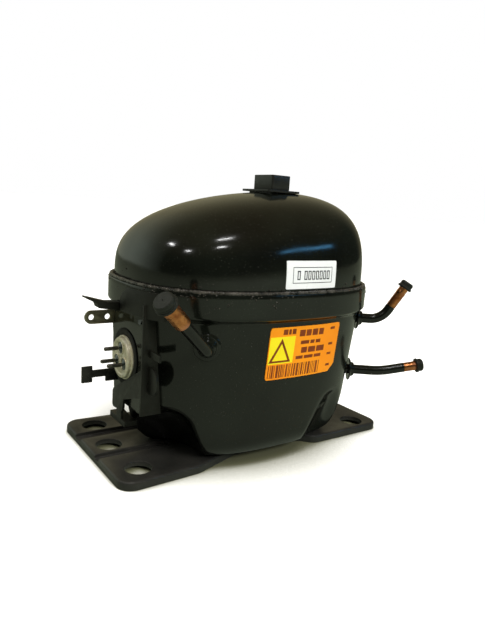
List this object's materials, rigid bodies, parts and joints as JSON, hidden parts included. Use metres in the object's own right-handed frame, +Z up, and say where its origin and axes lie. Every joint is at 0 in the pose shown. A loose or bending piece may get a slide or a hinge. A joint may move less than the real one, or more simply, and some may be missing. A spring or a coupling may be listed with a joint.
{
  "type": "hermetic reciprocating compressor",
  "caption": "Sealed refrigeration compressor: a welded black steel shell on a mounting plate with a sprung motor-driven piston pump, terminals and tube connections.",
  "frame": {"origin": "centre of the four mounting holes, on the underside of the mounting plate", "axes": "+X along the plate from the electrical terminals to the suction and discharge tubes, -Y towards the labelled side, +Z up"},
  "size_m": [0.2257, 0.1493, 0.1766],
  "materials": {
    "black_enamel": "gloss black enamel",
    "black_plate": "semi-gloss black enamel on pressed steel",
    "weld_bead": "black enamel over a rough weld bead",
    "terminal_steel": "pale plated steel",
    "terminal_glass": "dark sealing glass",
    "pin_steel": "nickel-iron contact pin",
    "spring_steel": "bright spring steel",
    "plain_steel": "machined steel",
    "copper": "bare drawn copper",
    "winding": "lacquered copper winding wire",
    "black_rubber": "matte moulded rubber",
    "clip_plastic": "moulded black plastic",
    "orange_label": "printed film label",
    "white_label": "printed film label",
    "lamination": "blued electrical steel laminations",
    "cast_aluminium": "die-cast aluminium",
    "cast_iron": "fine grey casting",
    "gasket": "compressed fibre sheet",
    "white_plastic": "moulded natural PBT plastic",
    "lead_insulation": "woven lead insulation"
  },
  "bodies": {
    "shell": {"base_plate": "black_plate", "lower_shell": "black_enamel", "upper_shell": "black_enamel", "seam_weld": "weld_bead", "top_clip_plate": "clip_plastic", "top_clip_catch": "clip_plastic", "rating_label": "orange_label", "serial_label": "white_label", "tube_collars": "black_plate", "terminal_body": "terminal_steel", "terminal_seals": "terminal_glass", "terminal_pins": "pin_steel", "terminal_bracket": "black_plate", "ground_lug": "black_plate", "retainer_spring": "black_plate", "relay_hook": "black_plate", "spring_studs": "plain_steel", "suspension_springs": "spring_steel", "shock_loop": "copper", "terminal_plug": "white_plastic", "lead_wires": "lead_insulation", "process_tube": "black_plate", "suction_tube": "black_plate", "discharge_tube": "black_plate", "process_copper": "copper", "suction_copper": "copper", "discharge_copper": "copper"},
    "pump": {"spring_holders": "plain_steel", "stator_core": "lamination", "stator_windings": "winding", "stator_bolts": "plain_steel", "cylinder_block": "cast_iron", "thrust_race_lower": "plain_steel", "cylinder_gasket": "gasket", "valve_plate": "plain_steel", "discharge_stop": "plain_steel", "head_gasket": "gasket", "cylinder_head": "cast_aluminium", "head_bolts": "plain_steel", "suction_muffler_lower": "white_plastic", "suction_muffler_upper": "white_plastic", "discharge_muffler": "plain_steel"},
    "crank": {"crankshaft": "cast_iron", "rotor_core": "lamination", "rotor_cage": "cast_aluminium", "oil_pickup": "plain_steel", "thrust_race_upper": "plain_steel"},
    "ball_cage": {"thrust_balls": "plain_steel", "thrust_cage": "white_plastic"},
    "piston": {"piston": "cast_iron", "wrist_pin": "plain_steel"},
    "rod": {"connecting_rod": "cast_aluminium", "crank_pin": "plain_steel"},
    "suction_valve": {"suction_reed": "spring_steel"},
    "discharge_valve": {"discharge_reed": "spring_steel"},
    "process_cap": {"process_cap": "black_rubber"},
    "suction_cap": {"suction_cap": "black_rubber"},
    "discharge_cap": {"discharge_cap": "black_rubber"}
  },
  "joints": [
    {"name": "pump_float", "type": "slide", "parent": "shell", "child": "pump", "axis": [0, 0, 1], "range_m": [-0.002, 0.003], "stiffness_N_per_m": 16000, "deforming": ["suspension_springs", "shock_loop", "lead_wires"]},
    {"name": "crank_spin", "type": "hinge", "parent": "pump", "child": "crank", "pos_m": [0.002, 0, 0.1], "axis": [0, 0, 1], "continuous": true},
    {"name": "ball_cage_spin", "type": "hinge", "parent": "pump", "child": "ball_cage", "pos_m": [0.002, 0, 0.1038], "axis": [0, 0, 1], "continuous": true},
    {"name": "piston_stroke", "type": "slide", "parent": "pump", "child": "piston", "axis": [1, 0, 0], "range_m": [0, 0.018]},
    {"name": "rod_swing", "type": "hinge", "parent": "piston", "child": "rod", "pos_m": [0.029, 0, 0.126], "axis": [0, 0, 1], "range_deg": [-14.4, 14.4]},
    {"name": "suction_reed_lift", "type": "hinge", "parent": "pump", "child": "suction_valve", "pos_m": [0.0579, 0, 0.1155], "axis": [0, 1, 0], "range_deg": [-6, 0], "stiffness_Nm_per_rad": 0.05},
    {"name": "discharge_reed_lift", "type": "hinge", "parent": "pump", "child": "discharge_valve", "pos_m": [0.0611, 0.0105, 0.12], "axis": [0, 0, 1], "range_deg": [0, 8], "stiffness_Nm_per_rad": 0.05},
    {"name": "process_cap_pull", "type": "slide", "parent": "shell", "child": "process_cap", "axis": [-0.7059, -0.2629, 0.6577], "range_m": [0, 0.015]},
    {"name": "suction_cap_pull", "type": "slide", "parent": "shell", "child": "suction_cap", "axis": [0.4149, -0.2945, 0.8609], "range_m": [0, 0.015]},
    {"name": "discharge_cap_pull", "type": "slide", "parent": "shell", "child": "discharge_cap", "axis": [0.8281, -0.5202, 0.2088], "range_m": [0, 0.015]}
  ],
  "couplings": [
    {"joint": "ball_cage_spin", "follows": "crank_spin", "ratio": 0.5}
  ]
}
